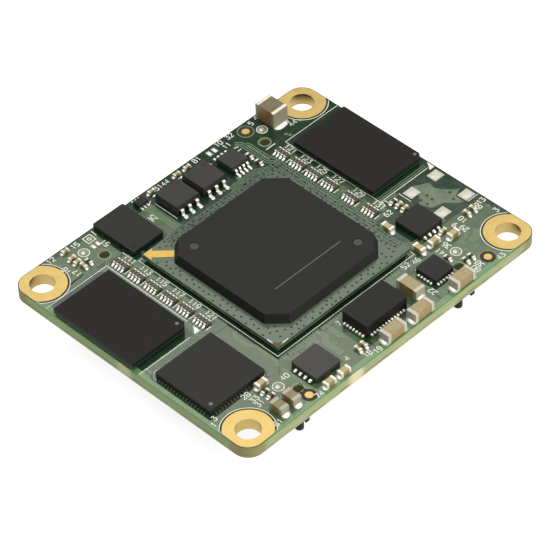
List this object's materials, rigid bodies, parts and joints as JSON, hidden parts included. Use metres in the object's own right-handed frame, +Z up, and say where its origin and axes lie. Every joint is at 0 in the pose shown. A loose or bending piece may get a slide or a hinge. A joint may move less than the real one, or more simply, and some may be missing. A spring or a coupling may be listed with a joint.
{
  "type": "system on module",
  "caption": "Small rectangular circuit board that carries a large square processor, memory and supply chips, with low board-to-board connectors beneath and a plated hole in each corner.",
  "frame": {"origin": "middle of the board, in the plane of the connectors' mating faces", "axes": "+X along the board's long side, +Y along its short side, +Z up out of the processor's face"},
  "size_m": [0.0506, 0.0406, 0.0093],
  "materials": {
    "solder_mask": "satin",
    "gold_plating": "bright",
    "tinned_metal": "bright",
    "chip_laminate": "satin",
    "black_mould": "matte",
    "grey_mould": "matte",
    "tan_ceramic": "satin",
    "dark_ceramic": "satin",
    "connector_plastic": "matte"
  },
  "bodies": {
    "root": {"circuit_board": "solder_mask", "mounting_lands": "gold_plating", "camera_marks": "gold_plating", "test_points": "tinned_metal", "oscillator_lands": "tinned_metal", "processor_substrate": "chip_laminate", "processor_cap": "black_mould", "processor_balls": "tinned_metal", "processor_gold": "gold_plating", "left_memory_mould": "black_mould", "left_memory_substrate": "chip_laminate", "left_memory_balls": "tinned_metal", "right_memory_mould": "black_mould", "right_memory_substrate": "chip_laminate", "right_memory_balls": "tinned_metal", "network_chip": "black_mould", "network_terminals": "tinned_metal", "power_module": "black_mould", "power_terminals": "tinned_metal", "left_regulator": "grey_mould", "left_regulator_terminals": "tinned_metal", "right_regulator": "grey_mould", "right_regulator_terminals": "tinned_metal", "clock_chip": "black_mould", "clock_terminals": "tinned_metal", "flash_chip": "black_mould", "flash_terminals": "tinned_metal", "identity_chips": "grey_mould", "identity_leads": "tinned_metal", "supervisor_chip": "grey_mould", "supervisor_leads": "tinned_metal", "logic_gate": "black_mould", "logic_leads": "tinned_metal", "resistor_arrays": "dark_ceramic", "array_terminals": "tinned_metal", "bulk_capacitor": "tan_ceramic", "bulk_capacitor_ends": "tinned_metal", "supply_capacitors": "tan_ceramic", "supply_capacitor_ends": "tinned_metal", "filter_capacitors": "tan_ceramic", "filter_capacitor_ends": "tinned_metal", "coupling_capacitors": "tan_ceramic", "coupling_capacitor_ends": "tinned_metal", "small_capacitors": "tan_ceramic", "small_capacitor_ends": "tinned_metal", "small_resistors": "dark_ceramic", "small_resistor_ends": "tinned_metal", "under_capacitors": "tan_ceramic", "under_capacitor_ends": "tinned_metal", "front_connector": "connector_plastic", "front_contacts": "gold_plating", "rear_connector": "connector_plastic", "rear_contacts": "gold_plating", "side_connector": "connector_plastic", "side_contacts": "gold_plating"}
  },
  "joints": []
}
